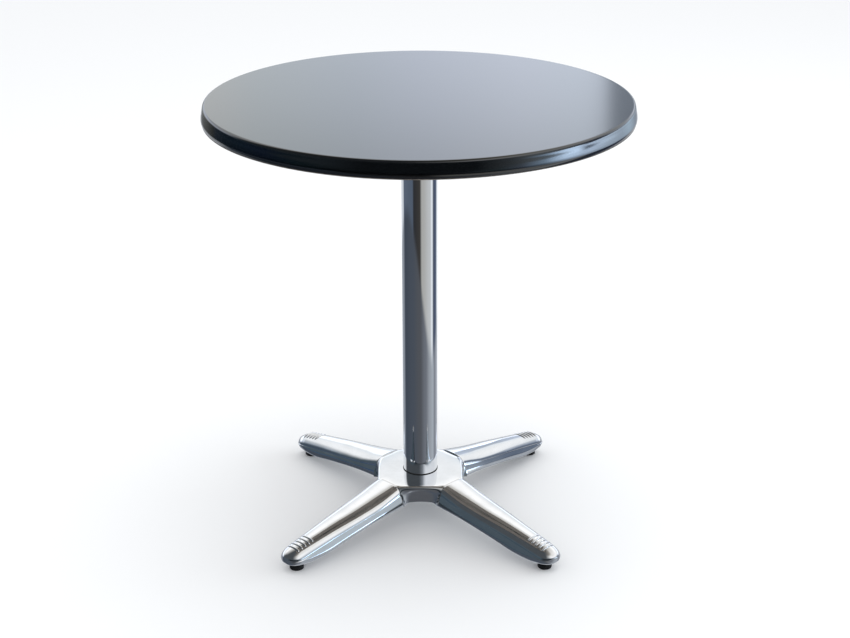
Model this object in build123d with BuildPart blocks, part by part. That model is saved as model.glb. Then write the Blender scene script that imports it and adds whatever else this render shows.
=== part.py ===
"""Round cafe table: moulded top on a tubular column and a four-arm cast base.

Frame: origin on the floor under the column axis, +Z up, front towards -Y,
arms on the diagonals. All lengths are millimetres.
"""
import math
import os

from build123d import *

os.makedirs("parts", exist_ok=True)

# ---------------------------------------------------------------- shared dimensions
TABLE_H = 745.0         # floor to top surface
BOARD_T = 20.0          # board inside the edge of the top
BOARD_UNDER = TABLE_H - BOARD_T
SPIDER_T = 6.0          # cross-shaped mounting plate
SPIDER_UNDER = BOARD_UNDER - SPIDER_T

HUB_TOP = 79.0
HUB_PLATE = 10.0        # thickness of the hub's top plate
PLATE_UNDER = HUB_TOP - HUB_PLATE
HUB_BOT = 47.0
HUB_SEAM = 79.0         # centre to the diagonal faces where the arms butt
BOSS_BOT = 60.0         # underside of the hub's centre boss
SHOULDER = 10.0         # rounding along the top edges of hub and arms

COL_R = 29.75
COL_BORE = COL_R - 2.0
INNER_FIT_R = COL_BORE - 0.1    # plug and spigot inside the tube
INNER_WALL_R = COL_BORE - 4.0   # inside radius of the plug's and spigot's walls

TENON_W = 34.0
TENON_BOT = 56.0
BOLT_X, BOLT_Y = 63.0, 9.5      # arm bolts, in the arm's own frame
BOLT_SPOTS = ((BOLT_X, BOLT_Y), (BOLT_X, -BOLT_Y))

FOOT_R = 292.0          # column axis to foot axis
ARM_UNDER = 14.0        # arm underside above the floor at the foot
INSERT_R = 6.5
INSERT_TOP = 30.0

DIAGONALS = {"front_left": 225, "front_right": 315, "back_right": 45, "back_left": 135}
ON_BASE = (Align.CENTER, Align.CENTER, Align.MIN)


# ---------------------------------------------------------------- helpers
def save(part, name):
    part.label = name
    export_step(part, f"parts/{name}.step")


def place(part, angle, x=0.0, y=0.0):
    """Copy of a part at (x, y) in the frame of the arm at the given angle."""
    return Location((0, 0, 0), (0, 0, angle)) * Location((x, y, 0)) * part


def make_ring(z, outer_r, inner_r, height):
    with BuildPart() as ring:
        with BuildSketch(Plane.XY.offset(z)):
            Circle(outer_r)
            Circle(inner_r, mode=Mode.SUBTRACT)
        extrude(amount=height)
    return ring.part


# ---------------------------------------------------------------- table top
TOP_R = 350.0           # widest radius
TOP_FLAT_R = 343.0      # radius of the flat surface
TOP_EDGE_T = 29.0       # depth of the edge
SKIN_T = 1.2            # moulded decorative skin
LIP_R = TOP_R - 14.0    # inner end of the skin under the edge
CORE_LIP_R = TOP_R - 15.0
CORE_RECESS_R = TOP_R - 27.0    # where the core's slope meets the board
NUT_POCKET_R, NUT_POCKET_DEPTH = 17, 12
PLATE_SCREW_R = 115     # column axis to the mounting plate screws
PILOT_R, PILOT_DEPTH = 2.3, 14


def edge_curve(inset):
    """Half section of the moulded edge, inset from the outer surface.

    A tight roll off the flat, a face that leans outwards, the widest point
    low down, and a rolled return underneath.
    """
    return Spline(
        (TOP_FLAT_R, TABLE_H - inset),
        (TOP_FLAT_R + 3.3 - 0.72 * inset, TABLE_H - 1.6 - 0.7 * inset),
        (TOP_R - 2.0 - inset, TABLE_H - 12.0),
        (TOP_R - 0.45 - inset, TABLE_H - 20.5),
        (TOP_R - 1.9 - inset, TABLE_H - 25.6),
        (TOP_R - 6.0 - 0.3 * inset, TABLE_H - TOP_EDGE_T + inset),
        tangents=[(1, -0.05), (-1, 0)])


def make_top_shell():
    low = TABLE_H - TOP_EDGE_T
    with BuildPart() as shell:
        with BuildSketch(Plane.XZ):
            with BuildLine():
                outer = edge_curve(0)
                Line(outer @ 0, (0, TABLE_H))
                Line((0, TABLE_H), (0, TABLE_H - SKIN_T))
                inner = edge_curve(SKIN_T)
                Line((0, TABLE_H - SKIN_T), inner @ 0)
                Line(outer @ 1, (LIP_R, low))
                Line((LIP_R, low), (LIP_R, low + SKIN_T))
                Line((LIP_R, low + SKIN_T), inner @ 1)
            make_face()
        revolve(axis=Axis.Z)
    return shell.part


def make_top_core():
    low = TABLE_H - TOP_EDGE_T + SKIN_T
    with BuildPart() as core:
        with BuildSketch(Plane.XZ):
            with BuildLine():
                rim = edge_curve(SKIN_T)
                Line(rim @ 1, (CORE_LIP_R, low))
                Line((CORE_LIP_R, low), (CORE_RECESS_R, BOARD_UNDER))
                Line((CORE_RECESS_R, BOARD_UNDER), (0, BOARD_UNDER))
                Line((0, BOARD_UNDER), (0, TABLE_H - SKIN_T))
                Line((0, TABLE_H - SKIN_T), rim @ 0)
            make_face()
        revolve(axis=Axis.Z)
        # pocket over the tie rod nut, and pilot holes for the plate screws
        with Locations(Location((0, 0, BOARD_UNDER))):
            Cylinder(NUT_POCKET_R, NUT_POCKET_DEPTH, align=ON_BASE, mode=Mode.SUBTRACT)
            with PolarLocations(PLATE_SCREW_R, 4):
                Cylinder(PILOT_R, PILOT_DEPTH, align=ON_BASE, mode=Mode.SUBTRACT)
    return core.part


save(make_top_shell(), "top_shell")
save(make_top_core(), "top_core")

# ---------------------------------------------------------------- mounting plate
SPIDER_DISC_R = 44
SLOT_CENTRE_R, SLOT_SPAN, SLOT_W = 66, 110, 30  # the rounded arms of the cross
SPIDER_FILLET = 10
SPIDER_CHAMFER = 1.0
ROD_CLEARANCE_R = 5.5
SCREW_CLEARANCE_R = 2.9
INNER_HOLES_R, INNER_HOLE_R = 75, 3.4           # second ring of four holes

SCREW_HEAD_H = 3.4
RECESS_L, RECESS_W, RECESS_BOX_H = 4.2, 1.1, 3.0    # cross recess in the screw head
# Half section of a plate screw: radius, height above the plate's underside
SCREW_SECTION = [
    (0, -SCREW_HEAD_H), (2.6, -SCREW_HEAD_H), (4.6, -2.2), (5.4, -0.01), (2.5, -0.01),
    (2.5, SPIDER_T - 1), (2.25, SPIDER_T), (2.25, 16.5), (0, 18.5), (0, -SCREW_HEAD_H),
]


def make_spider():
    with BuildPart() as spider:
        with BuildSketch(Plane.XY.offset(SPIDER_UNDER)):
            Circle(SPIDER_DISC_R)
            with PolarLocations(SLOT_CENTRE_R, 4):
                SlotCenterToCenter(SLOT_SPAN, SLOT_W)
        extrude(amount=SPIDER_T)
        fillet(spider.edges().filter_by(Axis.Z), SPIDER_FILLET)
        with Locations(Location((0, 0, SPIDER_UNDER))):
            Cylinder(ROD_CLEARANCE_R, SPIDER_T, align=ON_BASE, mode=Mode.SUBTRACT)
            with PolarLocations(PLATE_SCREW_R, 4):
                Cylinder(SCREW_CLEARANCE_R, SPIDER_T, align=ON_BASE, mode=Mode.SUBTRACT)
            with PolarLocations(INNER_HOLES_R, 4):
                Cylinder(INNER_HOLE_R, SPIDER_T, align=ON_BASE, mode=Mode.SUBTRACT)
        chamfer(spider.faces().sort_by(Axis.Z)[0].outer_wire().edges(), SPIDER_CHAMFER)
    return spider.part


def make_plate_screws():
    with BuildPart() as screw:
        with BuildSketch(Plane.XZ):
            with BuildLine():
                Polyline(*[(radius, SPIDER_UNDER + z) for radius, z in SCREW_SECTION])
            make_face()
        revolve(axis=Axis.Z)
        # each box is centred on the head's end, so half its height cuts in
        with Locations(Location((0, 0, SPIDER_UNDER - SCREW_HEAD_H))):
            Box(RECESS_W, RECESS_L, RECESS_BOX_H, mode=Mode.SUBTRACT)
            Box(RECESS_L, RECESS_W, RECESS_BOX_H, mode=Mode.SUBTRACT)
    return Compound(children=[
        Location((PLATE_SCREW_R * x, PLATE_SCREW_R * y, 0)) * screw.part
        for x, y in ((1, 0), (0, 1), (-1, 0), (0, -1))])


save(make_spider(), "top_mounting_plate")
save(make_plate_screws(), "plate_screws")

# ---------------------------------------------------------------- column
GASKET_T = 1.0
PLUG_FLANGE = 2.0
TUBE_TOP = SPIDER_UNDER - PLUG_FLANGE
TUBE_BOT = HUB_TOP + GASKET_T
PLUG_DEPTH = 18         # below the flange
PLUG_HOLLOW = 14        # depth of the annular hollow, from below
PLUG_BOSS_R = 11


def make_top_plug():
    with BuildPart() as plug:
        with BuildSketch(Plane.XY.offset(TUBE_TOP)):
            Circle(COL_R)
        extrude(amount=PLUG_FLANGE)
        with BuildSketch(Plane.XY.offset(TUBE_TOP)):
            Circle(INNER_FIT_R)
        extrude(amount=-PLUG_DEPTH)
        with BuildSketch(Plane.XY.offset(TUBE_TOP - PLUG_DEPTH)):
            Circle(INNER_WALL_R)
            Circle(PLUG_BOSS_R, mode=Mode.SUBTRACT)
        extrude(amount=PLUG_HOLLOW, mode=Mode.SUBTRACT)
        # tie rod hole, cut past both ends
        with BuildSketch(Plane.XY.offset(TUBE_TOP - PLUG_DEPTH - 2)):
            Circle(ROD_CLEARANCE_R)
        extrude(amount=30, mode=Mode.SUBTRACT)
    return plug.part


save(make_ring(TUBE_BOT, COL_R, COL_BORE, TUBE_TOP - TUBE_BOT), "column_tube")
save(make_top_plug(), "column_top_plug")
save(make_ring(HUB_TOP, COL_R + 0.7, COL_BORE + 0.05, GASKET_T), "column_base_gasket")

# ---------------------------------------------------------------- tie rod, M10
ROD_R = 4.95
ROD_LOW = 40.0
ROD_HIGH = BOARD_UNDER + 11.0
ROD_CHAMFER = 0.8
NUT_AF = 17.0           # across flats
NUT_BORE_R = 5.0
NUT_H = 8.0
NUT_BEVEL_IN, NUT_BEVEL_H = 0.4, 1.2
ROD_WASHER_BORE_R = 5.3
TOP_WASHER_T = 2.0
LOWER_WASHER_T = 2.5
SPRING_WASHER_T = 2.2
LOWER_WASHER_Z = BOSS_BOT - LOWER_WASHER_T
SPRING_WASHER_Z = LOWER_WASHER_Z - SPRING_WASHER_T


def make_tie_rod():
    with BuildPart() as rod:
        with BuildSketch(Plane.XY.offset(ROD_LOW)):
            Circle(ROD_R)
        extrude(amount=ROD_HIGH - ROD_LOW)
        chamfer(rod.edges().filter_by(GeomType.CIRCLE), ROD_CHAMFER)
    return rod.part


def make_nut(z):
    """Hexagonal nut standing on height z, with its corners bevelled."""
    face_r = NUT_AF / 2 - NUT_BEVEL_IN
    corner_r = NUT_AF / 2 / math.cos(math.pi / 6)
    top = z + NUT_H
    with BuildPart() as nut:
        with BuildSketch(Plane.XY.offset(z)):
            RegularPolygon(NUT_AF / 2, 6, major_radius=False)
            Circle(NUT_BORE_R, mode=Mode.SUBTRACT)
        extrude(amount=NUT_H)
        with BuildSketch(Plane.XZ):
            with BuildLine():
                Polyline((0, z), (face_r, z), (corner_r, z + NUT_BEVEL_H),
                         (corner_r, top - NUT_BEVEL_H), (face_r, top), (0, top), (0, z))
            make_face()
        revolve(axis=Axis.Z, mode=Mode.INTERSECT)
    return nut.part


save(make_tie_rod(), "tie_rod")
save(make_ring(BOARD_UNDER, 10.5, ROD_WASHER_BORE_R, TOP_WASHER_T), "tie_rod_top_washer")
save(make_nut(BOARD_UNDER + TOP_WASHER_T), "tie_rod_top_nut")
save(make_ring(LOWER_WASHER_Z, 17.0, ROD_WASHER_BORE_R, LOWER_WASHER_T),
     "tie_rod_lower_washer")
save(make_ring(SPRING_WASHER_Z, 9.0, 5.2, SPRING_WASHER_T), "tie_rod_spring_washer")
save(make_nut(SPRING_WASHER_Z - NUT_H), "tie_rod_lower_nut")

# ---------------------------------------------------------------- hub
HUB_FLAT = 77.8         # centre to the sides between the arms
HUB_HALF_SIDE = HUB_SEAM * math.sqrt(2) - HUB_FLAT
HUB_SAG = 1.5           # hollow of the sides between the arms
HUB_WALL = 5.0
HUB_CUT = PLATE_UNDER - HUB_BOT + 5     # depth that clears the open underside
BOSS_R = 20
SPIGOT_H = 14
HUB_ROD_HOLE_R = 5.6
TENON_SLOT_X, TENON_SLOT_L = 70, 50     # centre and length
HUB_BOLT_HOLE_R, HUB_BOLT_HOLE_DEPTH = 4.0, 6.5


def hub_outline(inset=0.0):
    """Octagon whose four sides between the arms are slightly hollow."""
    flat = HUB_FLAT - inset
    half = HUB_HALF_SIDE - inset * 0.41
    middle = flat - HUB_SAG
    corners = [(flat, -half), (flat, half), (half, flat), (-half, flat),
               (-flat, half), (-flat, -half), (-half, -flat), (half, -flat)]
    middles = [(middle, 0), (0, middle), (-middle, 0), (0, -middle)]
    for i in range(4):
        ThreePointArc(corners[2 * i], middles[i], corners[2 * i + 1])
        Line(corners[2 * i + 1], corners[(2 * i + 2) % 8])


def make_hub():
    with BuildPart() as hub:
        with BuildSketch(Plane.XY.offset(HUB_TOP)):
            with BuildLine():
                hub_outline()
            make_face()
        extrude(amount=-(HUB_TOP - HUB_BOT))
        # only the hollow sides are rounded; the seams stay sharp
        fillet([e for e in hub.faces().sort_by(Axis.Z)[-1].outer_wire().edges()
                if e.geom_type == GeomType.CIRCLE], SHOULDER)
        # hollow underside
        with BuildSketch(Plane.XY.offset(PLATE_UNDER)):
            with BuildLine():
                hub_outline(HUB_WALL)
            make_face()
        extrude(amount=-HUB_CUT, mode=Mode.SUBTRACT)
        # centre boss for the tie rod
        with BuildSketch(Plane.XY.offset(PLATE_UNDER)):
            Circle(BOSS_R)
        extrude(amount=-(PLATE_UNDER - BOSS_BOT))
        # spigot that centres the tube
        with BuildSketch(Plane.XY.offset(HUB_TOP)):
            Circle(INNER_FIT_R)
            Circle(INNER_WALL_R, mode=Mode.SUBTRACT)
        extrude(amount=SPIGOT_H)
        # tie rod hole, cut past the top plate
        with BuildSketch(Plane.XY.offset(BOSS_BOT)):
            Circle(HUB_ROD_HOLE_R)
        extrude(amount=40, mode=Mode.SUBTRACT)
        # slots for the arm tenons in the four diagonal walls, and their bolt holes
        for angle in (45, 135, 225, 315):
            with BuildSketch(Plane.XY.offset(PLATE_UNDER).rotated((0, 0, angle))):
                with Locations((TENON_SLOT_X, 0)):
                    Rectangle(TENON_SLOT_L, TENON_W + 1.0)
            extrude(amount=-HUB_CUT, mode=Mode.SUBTRACT)
            with BuildSketch(Plane.XY.offset(PLATE_UNDER).rotated((0, 0, angle))):
                with Locations(*BOLT_SPOTS):
                    Circle(HUB_BOLT_HOLE_R)
            extrude(amount=HUB_BOLT_HOLE_DEPTH, mode=Mode.SUBTRACT)
    return hub.part


save(make_hub(), "hub")

# ---------------------------------------------------------------- arm, along +X
ARM_ROOT = HUB_SEAM + 0.6       # leaves a joint line between hub and arm
ARM_TIP = 318.0
ARM_ROOT_TOP = 78.6
# Side view of the arm: distance from the column axis, height
ARM_TOP_POINTS = [(ARM_ROOT, ARM_ROOT_TOP), (150, 65.8), (225, 53.4), (285, 42.6),
                  (ARM_TIP, 35.5)]
ARM_UNDER_POINTS = [(FOOT_R - 13, ARM_UNDER), (240, 21.2), (187, 31.8), (120, 42.5),
                    (ARM_ROOT, HUB_BOT + 0.5)]
TOE_BEVEL_X, TOE_BEVEL_Z = 8, 7
# Plan views: distance from the column axis, half width
ARM_HALF_WIDTHS = [(ARM_ROOT, 31.0), (150, 30.4), (225, 26.0), (296, 21.8)]
POCKET_HALF_WIDTHS = [(ARM_ROOT + 7, 25), (150, 24.5), (225, 20.0), (FOOT_R - 18, 16.0)]
ARM_ROOF_T = 5.0        # top line down to the pocket's roof
POCKET_BOT = -5         # well clear of the underside
POCKET_FILLET = 4

TENON_START = 50.0
TENON_END = ARM_ROOT + 6        # runs on into the arm
TENON_BOLT_HOLE_R = 4.5
STEM_CLEARANCE_R, STEM_CLEARANCE_H = 4.6, 4.5

RIB_FIRST_X, RIB_PITCH, RIB_COUNT = 266.5, 7.7, 5
RIB_L, RIB_W, RIB_T = 28.0, 4.0, 3.1
RIB_SINK = 2.0          # start of a rib below the arm's top line


def arm_top_line(drop=0.0):
    return Spline(*[(x, z - drop) for x, z in ARM_TOP_POINTS],
                  tangents=[(1, -0.18), (1, -0.26)])


def is_crown_edge(edge):
    """True for the long top edges on both sides of the arm."""
    middle = edge @ 0.5
    lowest = ARM_ROOT_TOP - 0.175 * (middle.X - ARM_ROOT) - 6
    return (abs(middle.Y) > 8
            and middle.X > ARM_ROOT + 5
            and abs((edge @ 0).X - (edge @ 1).X) > 5
            and middle.Z > lowest)


def make_arm_pocket():
    """Hollow of the arm, open below."""
    left = POCKET_HALF_WIDTHS
    right = [(x, -y) for x, y in reversed(left)]
    with BuildPart() as pocket:
        with BuildSketch(Plane.XZ):
            with BuildLine():
                roof = arm_top_line(ARM_ROOF_T)
                Line(roof @ 1, (ARM_TIP, POCKET_BOT))
                Line((ARM_TIP, POCKET_BOT), (ARM_ROOT, POCKET_BOT))
                Line((ARM_ROOT, POCKET_BOT), roof @ 0)
            make_face()
        extrude(amount=30, both=True)
        with BuildSketch(Plane.XY):
            with BuildLine():
                Polyline(right[-1], *left, *right)
            make_face()
        extrude(amount=100, mode=Mode.INTERSECT)
        fillet(pocket.edges().filter_by(Axis.Z), POCKET_FILLET)
    return pocket.part


def make_arm():
    pocket = make_arm_pocket()
    with BuildPart() as arm:
        # side view intersected with plan view
        with BuildSketch(Plane.XZ):
            with BuildLine():
                top_line = arm_top_line()
                Line(top_line @ 1, (ARM_TIP, ARM_UNDER + TOE_BEVEL_Z))
                Line((ARM_TIP, ARM_UNDER + TOE_BEVEL_Z), (ARM_TIP - TOE_BEVEL_X, ARM_UNDER))
                Line((ARM_TIP - TOE_BEVEL_X, ARM_UNDER), ARM_UNDER_POINTS[0])
                under = Spline(*ARM_UNDER_POINTS, tangents=[(-1, 0.14), (-1, 0.10)])
                Line(under @ 1, top_line @ 0)
            make_face()
        extrude(amount=40, both=True)
        with BuildSketch(Plane.XY):
            with BuildLine():
                sides = [Spline(*[(x, sign * y) for x, y in ARM_HALF_WIDTHS],
                                tangents=[(1, 0.0), (1, -0.05 * sign)])
                         for sign in (1, -1)]
                for side in sides:
                    TangentArc(side @ 1, (ARM_TIP, 0), tangent=side % 1)
                Line(sides[0] @ 0, sides[1] @ 0)
            make_face()
        extrude(amount=100, mode=Mode.INTERSECT)
        fillet([e for e in arm.edges() if is_crown_edge(e)], SHOULDER)
        add(pocket, mode=Mode.SUBTRACT)
        # tenon under the hub's top plate, with clearance holes for its bolts
        with BuildSketch(Plane.XY.offset(TENON_BOT)):
            with Locations(((TENON_START + TENON_END) / 2, 0)):
                Rectangle(TENON_END - TENON_START, TENON_W)
        extrude(amount=PLATE_UNDER - TENON_BOT)
        with BuildSketch(Plane.XY.offset(TENON_BOT)):
            with Locations(*BOLT_SPOTS):
                Circle(TENON_BOLT_HOLE_R)
        extrude(amount=PLATE_UNDER - TENON_BOT, mode=Mode.SUBTRACT)
        # bore for the foot's threaded insert and clearance for the end of the stem
        with BuildSketch(Plane.XY.offset(ARM_UNDER)):
            with Locations((FOOT_R, 0)):
                Circle(INSERT_R)
        extrude(amount=INSERT_TOP - ARM_UNDER, mode=Mode.SUBTRACT)
        with BuildSketch(Plane.XY.offset(INSERT_TOP)):
            with Locations((FOOT_R, 0)):
                Circle(STEM_CLEARANCE_R)
        extrude(amount=STEM_CLEARANCE_H, mode=Mode.SUBTRACT)
        # low cross ribs near the toe, tilted with the arm's top
        for i in range(RIB_COUNT):
            x = RIB_FIRST_X + i * RIB_PITCH
            z = 42.6 - 0.205 * (x - 285) - RIB_SINK
            rib_plane = Plane(origin=(x, 0, z), x_dir=(0, 1, 0), z_dir=(0.201, 0, 0.980))
            with BuildSketch(rib_plane):
                SlotOverall(RIB_L, RIB_W)
            extrude(amount=RIB_T)
    return arm.part


arm_part = make_arm()
for where, angle in DIAGONALS.items():
    save(place(arm_part, angle), f"arm_{where}")

# ---------------------------------------------------------------- arm bolts
BOLT_WASHER_T = 1.6
BOLT_WASHER_Z = TENON_BOT - BOLT_WASHER_T   # also where the bolt head starts
BOLT_R = 3.95
BOLT_TOP = PLATE_UNDER + 6.0
BOLT_HEAD_R, BOLT_HEAD_H = 6.5, 8.0
BOLT_CHAMFER = 0.8
SOCKET_AF, SOCKET_DEPTH = 6.0, 4.5


def make_arm_bolt():
    with BuildPart() as bolt:
        with BuildSketch(Plane.XY.offset(BOLT_WASHER_Z)):
            Circle(BOLT_R)
        extrude(amount=BOLT_TOP - BOLT_WASHER_Z)
        with BuildSketch(Plane.XY.offset(BOLT_WASHER_Z)):
            Circle(BOLT_HEAD_R)
        extrude(amount=-BOLT_HEAD_H)
        chamfer(bolt.faces().sort_by(Axis.Z)[0].edges(), BOLT_CHAMFER)
        with BuildSketch(Plane.XY.offset(BOLT_WASHER_Z - BOLT_HEAD_H)):
            RegularPolygon(SOCKET_AF / 2, 6, major_radius=False)
        extrude(amount=SOCKET_DEPTH, mode=Mode.SUBTRACT)
    return bolt.part


def at_bolt_spots(part):
    return Compound(children=[place(part, angle, x, y)
                              for angle in DIAGONALS.values() for x, y in BOLT_SPOTS])


save(at_bolt_spots(make_arm_bolt()), "arm_bolts")
save(at_bolt_spots(make_ring(BOLT_WASHER_Z, 8.0, 4.2, BOLT_WASHER_T)), "arm_bolt_washers")

# ---------------------------------------------------------------- levelling feet
PAD_R = 12.0
PAD_H = 8.5
PAD_TOP_FILLET, PAD_BOT_FILLET = 1.4, 0.6
STEM_R = 3.95           # M8
STEM_TOP = 33.0
STEM_CHAMFER = 0.9
HEAD_R = 7.0            # disc of the stem held inside the pad
HEAD_LOW, HEAD_HIGH = 2.0, 4.2
COLLAR_AF = 13.0        # spanner collar between pad and arm
COLLAR_GAP = 0.1        # above and below the collar
COLLAR_BOT = PAD_H + COLLAR_GAP
FIT = 0.05              # running clearance


def make_stem():
    with BuildPart() as stem:
        with BuildSketch(Plane.XY.offset(HEAD_LOW)):
            Circle(STEM_R)
        extrude(amount=STEM_TOP - HEAD_LOW)
        chamfer(stem.faces().sort_by(Axis.Z)[-1].edges(), STEM_CHAMFER)
        with BuildSketch(Plane.XY.offset(HEAD_LOW)):
            Circle(HEAD_R)
        extrude(amount=HEAD_HIGH - HEAD_LOW)
        with BuildSketch(Plane.XY.offset(COLLAR_BOT)):
            RegularPolygon(COLLAR_AF / 2, 6, major_radius=False)
        extrude(amount=ARM_UNDER - COLLAR_GAP - COLLAR_BOT)
    return stem.part


def make_pad():
    with BuildPart() as pad:
        with BuildSketch(Plane.XY):
            Circle(PAD_R)
        extrude(amount=PAD_H)
        fillet(pad.edges().sort_by(Axis.Z)[-1], PAD_TOP_FILLET)
        fillet(pad.edges().sort_by(Axis.Z)[0], PAD_BOT_FILLET)
        # cavity for the stem's disc, then the hole for the stem above it
        with BuildSketch(Plane.XY.offset(HEAD_LOW - FIT)):
            Circle(HEAD_R + FIT)
        extrude(amount=HEAD_HIGH - HEAD_LOW + 2 * FIT, mode=Mode.SUBTRACT)
        with BuildSketch(Plane.XY.offset(HEAD_HIGH)):
            Circle(STEM_R + FIT)
        extrude(amount=PAD_H, mode=Mode.SUBTRACT)
    return pad.part


insert_part = make_ring(ARM_UNDER, INSERT_R, STEM_R + FIT, INSERT_TOP - ARM_UNDER)
save(Compound(children=[place(insert_part, angle, FOOT_R) for angle in DIAGONALS.values()]),
     "foot_inserts")

stem_part = make_stem()
pad_part = make_pad()
for where, angle in DIAGONALS.items():
    save(place(stem_part, angle, FOOT_R), f"foot_stem_{where}")
    save(place(pad_part, angle, FOOT_R), f"foot_pad_{where}")
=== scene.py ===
"""Visual model of a round table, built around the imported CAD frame.

The table stands on z = 0 and is centred on the Z axis. The camera looks along +Y, so the front
is -Y and the right is +X. Four cast arms lie on the diagonals. The pieces are drawn in
millimetres; the scene, the stage and the camera are in metres.
"""
import math

import bmesh
import bpy
import numpy as np
from mathutils import Matrix, Vector


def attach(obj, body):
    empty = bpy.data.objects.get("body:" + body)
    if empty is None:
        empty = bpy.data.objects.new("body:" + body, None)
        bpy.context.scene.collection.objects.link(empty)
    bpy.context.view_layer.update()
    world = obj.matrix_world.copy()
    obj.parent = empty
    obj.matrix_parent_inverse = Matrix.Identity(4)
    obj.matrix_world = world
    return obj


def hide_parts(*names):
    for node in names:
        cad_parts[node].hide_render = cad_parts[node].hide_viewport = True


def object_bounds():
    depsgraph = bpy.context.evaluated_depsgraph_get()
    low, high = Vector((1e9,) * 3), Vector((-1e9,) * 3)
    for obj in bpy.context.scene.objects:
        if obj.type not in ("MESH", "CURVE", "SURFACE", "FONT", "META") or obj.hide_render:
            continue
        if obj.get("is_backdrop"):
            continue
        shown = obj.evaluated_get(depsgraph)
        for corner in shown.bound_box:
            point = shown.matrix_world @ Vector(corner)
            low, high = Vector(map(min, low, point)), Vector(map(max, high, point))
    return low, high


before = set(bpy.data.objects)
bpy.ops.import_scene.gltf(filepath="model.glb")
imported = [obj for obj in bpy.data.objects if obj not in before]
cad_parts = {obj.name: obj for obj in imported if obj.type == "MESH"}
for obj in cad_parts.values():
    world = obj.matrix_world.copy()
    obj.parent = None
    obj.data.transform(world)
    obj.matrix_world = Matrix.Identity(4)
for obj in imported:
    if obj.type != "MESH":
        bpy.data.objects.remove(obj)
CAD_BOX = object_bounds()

MM = 0.001


# ------------------------------------------------------------------ meshes
def new_object(name, verts, faces):
    """An object in metres from millimetre points, with doubles welded and normals facing out."""
    mesh = bpy.data.meshes.new(name)
    mesh.from_pydata([tuple(float(c) * MM for c in vert) for vert in verts], [], faces)
    mesh.validate(verbose=False)
    mesh.update()
    obj = bpy.data.objects.new(name, mesh)
    bpy.context.scene.collection.objects.link(obj)
    bm = bmesh.new()
    bm.from_mesh(mesh)
    bmesh.ops.remove_doubles(bm, verts=bm.verts, dist=2e-6)
    bmesh.ops.recalc_face_normals(bm, faces=bm.faces)
    bm.to_mesh(mesh)
    bm.free()
    mesh.shade_smooth()
    return obj


def sharpen(obj, degrees):
    """Breaks the smooth shading at edges sharper than the given angle."""
    mesh = obj.data
    bm = bmesh.new()
    bm.from_mesh(mesh)
    limit = math.radians(degrees)
    for edge in bm.edges:
        edge.smooth = not (len(edge.link_faces) == 2 and edge.calc_face_angle(0.0) > limit)
    bm.to_mesh(mesh)
    bm.free()
    mesh.update()


def add_piece(name, shape, *, sharp_over, material, body, replaces):
    """Makes a piece from (verts, faces) and hands it to the frame in place of a CAD node."""
    obj = new_object(name, *shape)
    sharpen(obj, sharp_over)
    obj.data.materials.append(material)
    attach(obj, body)
    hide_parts(replaces)


def loft(rings, capped=True):
    """Quads between closed rings that all have the same number of points."""
    verts, faces = [], []
    count = len(rings[0])
    for ring in rings:
        verts.extend(ring)
    for i in range(len(rings) - 1):
        for j in range(count):
            here = i * count + j
            beside = i * count + (j + 1) % count
            faces.append((here, beside, beside + count, here + count))
    if capped:
        last = (len(rings) - 1) * count
        faces.append(tuple(range(count - 1, -1, -1)))
        faces.append(tuple(range(last, last + count)))
    return verts, faces


def lathe(profile, steps):
    """Turns a list of (radius, height) about Z. A radius of 0 closes at a point."""
    verts, faces, rows = [], [], []
    for radius, z in profile:
        if radius < 1e-6:
            rows.append([len(verts)])
            verts.append((0.0, 0.0, z))
        else:
            start = len(verts)
            for k in range(steps):
                angle = 2 * math.pi * k / steps
                verts.append((radius * math.cos(angle), radius * math.sin(angle), z))
            rows.append(list(range(start, start + steps)))
    for low, high in zip(rows, rows[1:]):
        for k in range(steps):
            m = (k + 1) % steps
            if len(low) == 1:
                faces.append((low[0], high[k], high[m]))
            elif len(high) == 1:
                faces.append((low[k], high[0], low[m]))
            else:
                faces.append((low[k], high[k], high[m], low[m]))
    return verts, faces


def merge(*shapes):
    verts, faces = [], []
    for shape_verts, shape_faces in shapes:
        base = len(verts)
        verts += list(shape_verts)
        faces += [tuple(i + base for i in face) for face in shape_faces]
    return verts, faces


def turn(x, y, degrees):
    """The point (x, y) turned about Z."""
    c, s = math.cos(math.radians(degrees)), math.sin(math.radians(degrees))
    return x * c - y * s, x * s + y * c


def placed(shape, degrees=0.0, centre=(0.0, 0.0)):
    """A shape turned about Z and then moved to a centre."""
    moved = []
    for x, y, z in shape[0]:
        if degrees:
            x, y = turn(x, y, degrees)
        moved.append((x + centre[0], y + centre[1], z))
    return moved, shape[1]


# ------------------------------------------------------------------ curves
def arc(cx, cz, radius, start, end, count):
    """Points on a circular arc; the angles are in degrees."""
    angles = [math.radians(start + (end - start) * i / count) for i in range(count + 1)]
    return [(cx + radius * math.cos(a), cz + radius * math.sin(a)) for a in angles]


def catmull(points, per_span):
    """A smooth curve through 2-D points."""
    p = [np.array(q, float) for q in points]
    p = [2 * p[0] - p[1]] + p + [2 * p[-1] - p[-2]]
    out = []
    for i in range(1, len(p) - 2):
        for k in range(per_span):
            t = k / per_span
            out.append(tuple(0.5 * ((2 * p[i]) + (p[i + 1] - p[i - 1]) * t
                       + (2 * p[i - 1] - 5 * p[i] + 4 * p[i + 1] - p[i + 2]) * t * t
                       + (3 * p[i] - p[i - 1] - 3 * p[i + 1] + p[i + 2]) * t ** 3)))
    out.append(tuple(p[-2]))
    return out


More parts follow.
